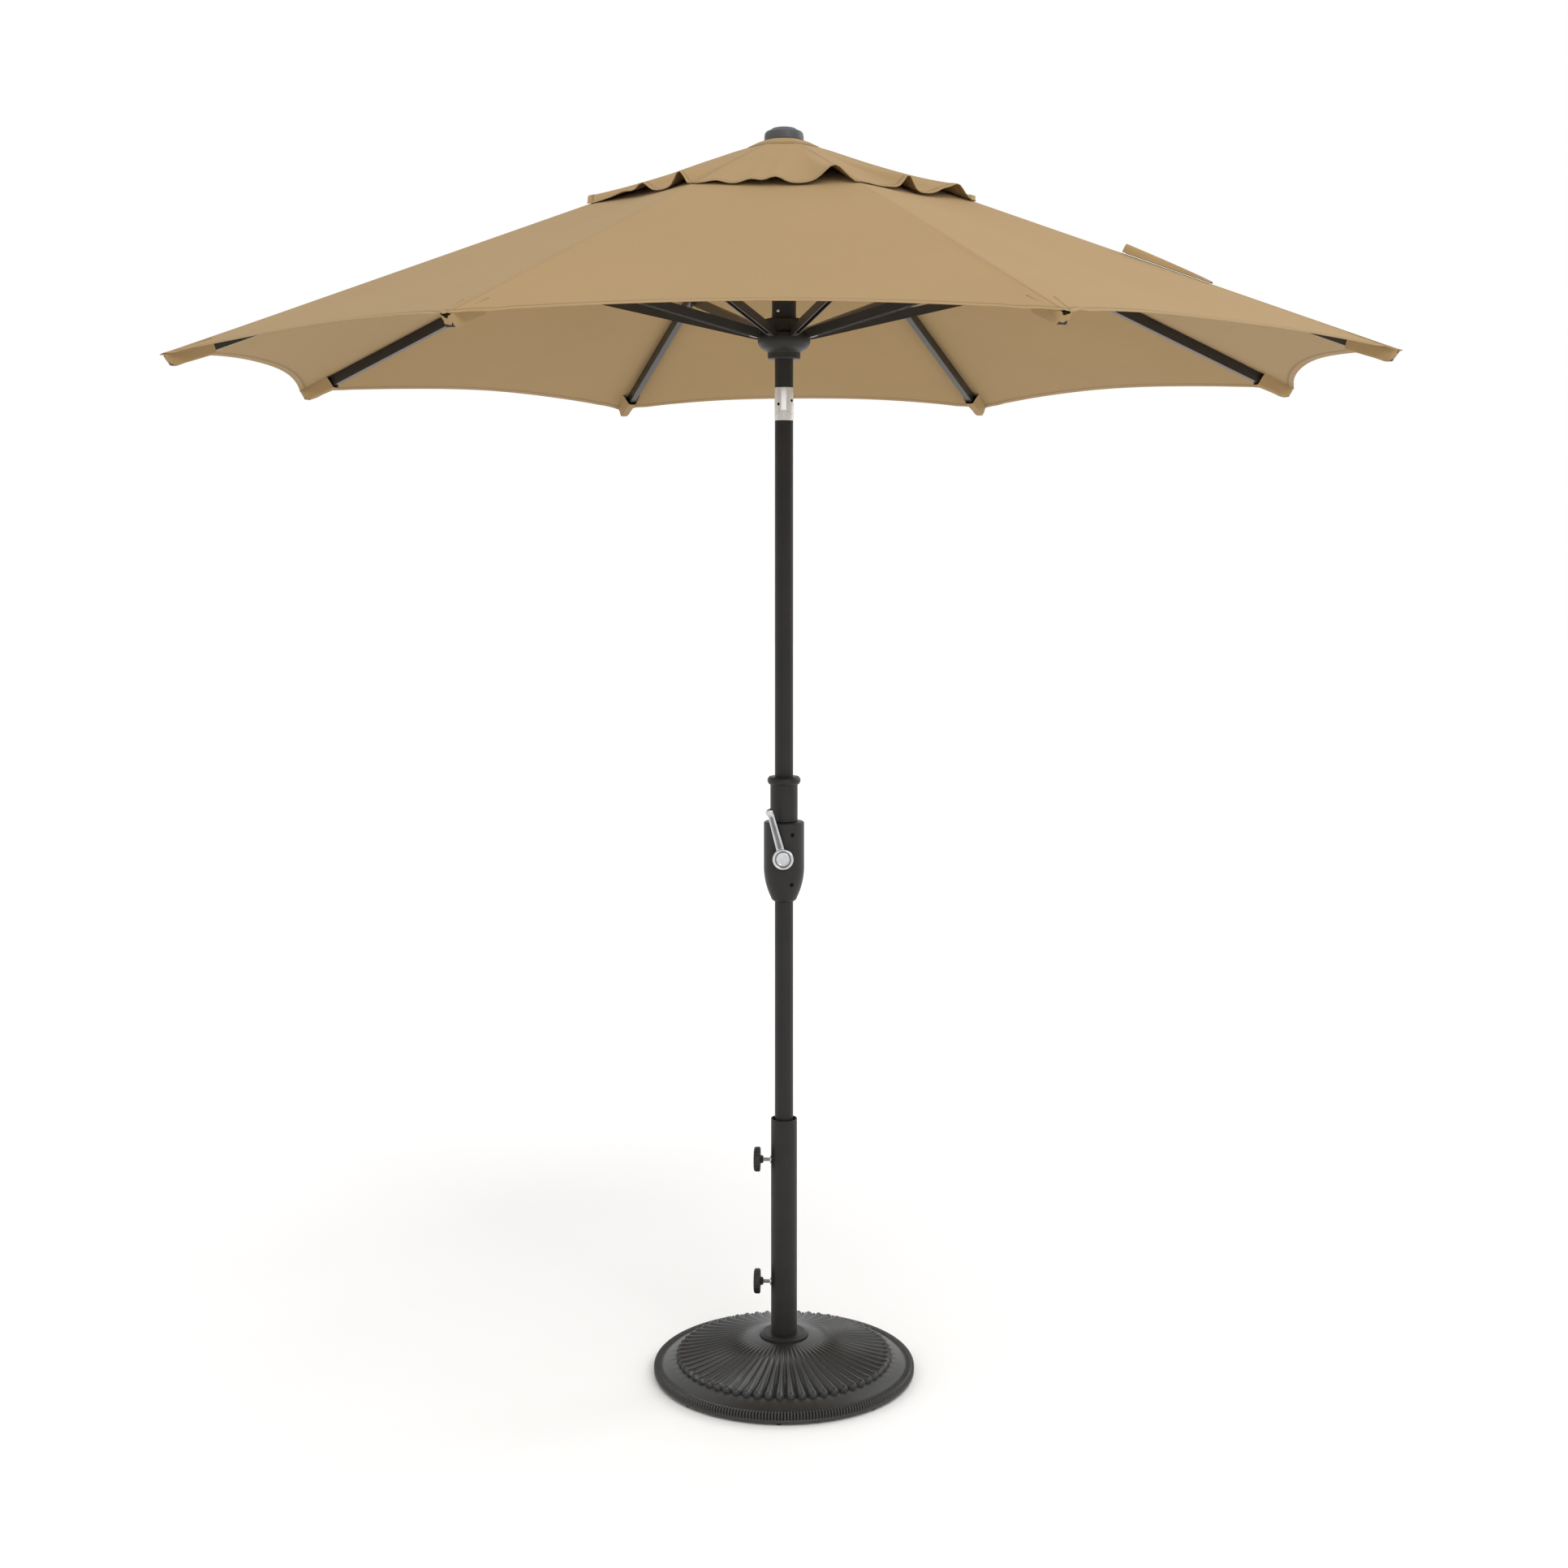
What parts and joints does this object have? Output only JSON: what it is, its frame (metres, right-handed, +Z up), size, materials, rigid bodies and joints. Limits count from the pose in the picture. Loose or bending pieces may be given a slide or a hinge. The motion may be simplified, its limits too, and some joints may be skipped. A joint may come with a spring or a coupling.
{
  "type": "patio umbrella with base",
  "caption": "Free-standing octagonal market umbrella with one wind vent, crank lift, collar tilt and a round cast base.",
  "frame": {"origin": "on the ground at the pole's axis, under the middle of the base", "axes": "+Z up along the pole; the crank faces -Y and the clamp knobs point to -X"},
  "size_m": [2.282, 2.282, 2.582],
  "materials": {
    "cast_base": "textured matt black coating",
    "black_tube": "satin black powder coat",
    "black_housing": "satin black paint",
    "zinc_steel": "zinc plated",
    "dark_screw": "blackened steel",
    "rubber_foot": "matt",
    "black_plastic": "moulded, satin",
    "bare_aluminium": "turned, satin",
    "chrome_crank": "polished",
    "finial_paint": "satin dark bronze",
    "rib_paint": "satin dark bronze powder coat",
    "fitting_paint": "satin black",
    "canopy_cloth": "woven polyester, khaki tan"
  },
  "bodies": {
    "stand": {"base_plate": "cast_base", "base_tube": "black_tube", "base_fasteners": "zinc_steel", "base_feet": "rubber_foot"},
    "upper_knob": {"knob_upper": "black_plastic", "knob_upper_screw": "zinc_steel"},
    "lower_knob": {"knob_lower": "black_plastic", "knob_lower_screw": "zinc_steel"},
    "mast": {"lower_pole": "black_tube", "mid_pole": "black_tube", "housing_front": "black_housing", "housing_rear": "black_housing", "housing_screws": "dark_screw", "tilt_socket": "bare_aluminium", "tilt_pin": "zinc_steel"},
    "collar": {"tilt_collar": "black_housing"},
    "crank": {"crank_arm": "chrome_crank", "crank_shaft": "chrome_crank", "cord_spool": "black_plastic"},
    "crank_grip": {"crank_knob": "chrome_crank"},
    "upper_mast": {"upper_pole": "black_tube", "tilt_tongue": "bare_aluminium", "top_hub": "black_plastic", "hub_pins": "zinc_steel", "finial": "finial_paint"},
    "lift_pulley": {"pulley": "black_plastic"},
    "runner_body": {"runner": "black_plastic", "runner_sleeve": "black_plastic"},
    "rib_arm_1": {"rib_1": "rib_paint", "rib_fittings_1": "fitting_paint", "canopy_gore_1": "canopy_cloth"},
    "strut_arm_1": {"strut_1": "rib_paint"},
    "rib_arm_2": {"rib_2": "rib_paint", "rib_fittings_2": "fitting_paint", "canopy_gore_2": "canopy_cloth"},
    "strut_arm_2": {"strut_2": "rib_paint"},
    "rib_arm_3": {"rib_3": "rib_paint", "rib_fittings_3": "fitting_paint", "canopy_gore_3": "canopy_cloth"},
    "strut_arm_3": {"strut_3": "rib_paint"},
    "rib_arm_4": {"rib_4": "rib_paint", "rib_fittings_4": "fitting_paint", "canopy_gore_4": "canopy_cloth"},
    "strut_arm_4": {"strut_4": "rib_paint"},
    "rib_arm_5": {"rib_5": "rib_paint", "rib_fittings_5": "fitting_paint", "canopy_gore_5": "canopy_cloth"},
    "strut_arm_5": {"strut_5": "rib_paint"},
    "rib_arm_6": {"rib_6": "rib_paint", "rib_fittings_6": "fitting_paint", "canopy_gore_6": "canopy_cloth"},
    "strut_arm_6": {"strut_6": "rib_paint"},
    "rib_arm_7": {"rib_7": "rib_paint", "rib_fittings_7": "fitting_paint", "canopy_gore_7": "canopy_cloth"},
    "strut_arm_7": {"strut_7": "rib_paint"},
    "rib_arm_8": {"rib_8": "rib_paint", "rib_fittings_8": "fitting_paint", "canopy_gore_8": "canopy_cloth"},
    "strut_arm_8": {"strut_8": "rib_paint"}
  },
  "joints": [
    {"name": "pole_lift", "type": "slide", "parent": "stand", "child": "mast", "axis": [0, 0, 1], "range_m": [0, 0.3]},
    {"name": "upper_knob_turn", "type": "hinge", "parent": "stand", "child": "upper_knob", "pos_m": [-0.056, 0, 0.439], "axis": [1, 0, 0], "continuous": true},
    {"name": "lower_knob_turn", "type": "hinge", "parent": "stand", "child": "lower_knob", "pos_m": [-0.056, 0, 0.186], "axis": [1, 0, 0], "continuous": true},
    {"name": "canopy_tilt", "type": "hinge", "parent": "mast", "child": "upper_mast", "pos_m": [0, 0, 2.009], "axis": [1, 0, 0], "range_deg": [0, 35]},
    {"name": "collar_turn", "type": "hinge", "parent": "mast", "child": "collar", "pos_m": [0, 0, 1.2], "axis": [0, 0, 1], "range_deg": [0, 180.1]},
    {"name": "runner_slide", "type": "slide", "parent": "upper_mast", "child": "runner_body", "axis": [0, 0, 1], "range_m": [-0.79409, 0]},
    {"name": "crank_turn", "type": "hinge", "parent": "mast", "child": "crank", "pos_m": [0, 0, 1.07], "axis": [0, -1, 0], "range_deg": [-3641, 0]},
    {"name": "crank_grip_spin", "type": "hinge", "parent": "crank", "child": "crank_grip", "pos_m": [-0.02726, -0.06, 1.16829], "axis": [0, -1, 0], "continuous": true},
    {"name": "pulley_spin", "type": "hinge", "parent": "upper_mast", "child": "lift_pulley", "pos_m": [0, 0, 2.47], "axis": [1, 0, 0], "range_deg": [-4334, 0]},
    {"name": "rib_fold_1", "type": "hinge", "parent": "upper_mast", "child": "rib_arm_1", "pos_m": [0.03696, 0.01531, 2.53458], "axis": [0.3827, -0.9239, 0], "range_deg": [-65.91, 0], "deforming": ["canopy_gore_1"]},
    {"name": "strut_fold_1", "type": "hinge", "parent": "rib_arm_1", "child": "strut_arm_1", "pos_m": [0.55433, 0.22961, 2.28644], "axis": [0.3827, -0.9239, 0], "range_deg": [0, 143.13]},
    {"name": "rib_fold_2", "type": "hinge", "parent": "upper_mast", "child": "rib_arm_2", "pos_m": [0.01531, 0.03696, 2.53458], "axis": [0.9239, -0.3827, 0], "range_deg": [-65.91, 0], "deforming": ["canopy_gore_2"]},
    {"name": "strut_fold_2", "type": "hinge", "parent": "rib_arm_2", "child": "strut_arm_2", "pos_m": [0.22961, 0.55433, 2.28644], "axis": [0.9239, -0.3827, 0], "range_deg": [0, 143.13]},
    {"name": "rib_fold_3", "type": "hinge", "parent": "upper_mast", "child": "rib_arm_3", "pos_m": [-0.01531, 0.03696, 2.53458], "axis": [0.9239, 0.3827, 0], "range_deg": [-65.91, 0], "deforming": ["canopy_gore_3"]},
    {"name": "strut_fold_3", "type": "hinge", "parent": "rib_arm_3", "child": "strut_arm_3", "pos_m": [-0.22961, 0.55433, 2.28644], "axis": [0.9239, 0.3827, 0], "range_deg": [0, 143.13]},
    {"name": "rib_fold_4", "type": "hinge", "parent": "upper_mast", "child": "rib_arm_4", "pos_m": [-0.03696, 0.01531, 2.53458], "axis": [0.3827, 0.9239, 0], "range_deg": [-65.91, 0], "deforming": ["canopy_gore_4"]},
    {"name": "strut_fold_4", "type": "hinge", "parent": "rib_arm_4", "child": "strut_arm_4", "pos_m": [-0.55433, 0.22961, 2.28644], "axis": [0.3827, 0.9239, 0], "range_deg": [0, 143.13]},
    {"name": "rib_fold_5", "type": "hinge", "parent": "upper_mast", "child": "rib_arm_5", "pos_m": [-0.03696, -0.01531, 2.53458], "axis": [-0.3827, 0.9239, 0], "range_deg": [-65.91, 0], "deforming": ["canopy_gore_5"]},
    {"name": "strut_fold_5", "type": "hinge", "parent": "rib_arm_5", "child": "strut_arm_5", "pos_m": [-0.55433, -0.22961, 2.28644], "axis": [-0.3827, 0.9239, 0], "range_deg": [0, 143.13]},
    {"name": "rib_fold_6", "type": "hinge", "parent": "upper_mast", "child": "rib_arm_6", "pos_m": [-0.01531, -0.03696, 2.53458], "axis": [-0.9239, 0.3827, 0], "range_deg": [-65.91, 0], "deforming": ["canopy_gore_6"]},
    {"name": "strut_fold_6", "type": "hinge", "parent": "rib_arm_6", "child": "strut_arm_6", "pos_m": [-0.22961, -0.55433, 2.28644], "axis": [-0.9239, 0.3827, 0], "range_deg": [0, 143.13]},
    {"name": "rib_fold_7", "type": "hinge", "parent": "upper_mast", "child": "rib_arm_7", "pos_m": [0.01531, -0.03696, 2.53458], "axis": [-0.9239, -0.3827, 0], "range_deg": [-65.91, 0], "deforming": ["canopy_gore_7"]},
    {"name": "strut_fold_7", "type": "hinge", "parent": "rib_arm_7", "child": "strut_arm_7", "pos_m": [0.22961, -0.55433, 2.28644], "axis": [-0.9239, -0.3827, 0], "range_deg": [0, 143.13]},
    {"name": "rib_fold_8", "type": "hinge", "parent": "upper_mast", "child": "rib_arm_8", "pos_m": [0.03696, -0.01531, 2.53458], "axis": [-0.3827, -0.9239, 0], "range_deg": [-65.91, 0], "deforming": ["canopy_gore_8"]},
    {"name": "strut_fold_8", "type": "hinge", "parent": "rib_arm_8", "child": "strut_arm_8", "pos_m": [0.55433, -0.22961, 2.28644], "axis": [-0.3827, -0.9239, 0], "range_deg": [0, 143.13]}
  ],
  "couplings": [
    {"joint": "collar_turn", "follows": "canopy_tilt", "ratio": 5.1429},
    {"joint": "crank_turn", "follows": "runner_slide", "rad_per_m": 80},
    {"joint": "pulley_spin", "follows": "runner_slide", "rad_per_m": 95.238},
    {"joint": "rib_fold_1", "follows": "runner_slide", "rad_per_m": 1.4484},
    {"joint": "strut_fold_1", "follows": "runner_slide", "rad_per_m": -3.1455},
    {"joint": "rib_fold_2", "follows": "runner_slide", "rad_per_m": 1.4484},
    {"joint": "strut_fold_2", "follows": "runner_slide", "rad_per_m": -3.1455},
    {"joint": "rib_fold_3", "follows": "runner_slide", "rad_per_m": 1.4484},
    {"joint": "strut_fold_3", "follows": "runner_slide", "rad_per_m": -3.1455},
    {"joint": "rib_fold_4", "follows": "runner_slide", "rad_per_m": 1.4484},
    {"joint": "strut_fold_4", "follows": "runner_slide", "rad_per_m": -3.1455},
    {"joint": "rib_fold_5", "follows": "runner_slide", "rad_per_m": 1.4484},
    {"joint": "strut_fold_5", "follows": "runner_slide", "rad_per_m": -3.1455},
    {"joint": "rib_fold_6", "follows": "runner_slide", "rad_per_m": 1.4484},
    {"joint": "strut_fold_6", "follows": "runner_slide", "rad_per_m": -3.1455},
    {"joint": "rib_fold_7", "follows": "runner_slide", "rad_per_m": 1.4484},
    {"joint": "strut_fold_7", "follows": "runner_slide", "rad_per_m": -3.1455},
    {"joint": "rib_fold_8", "follows": "runner_slide", "rad_per_m": 1.4484},
    {"joint": "strut_fold_8", "follows": "runner_slide", "rad_per_m": -3.1455}
  ]
}
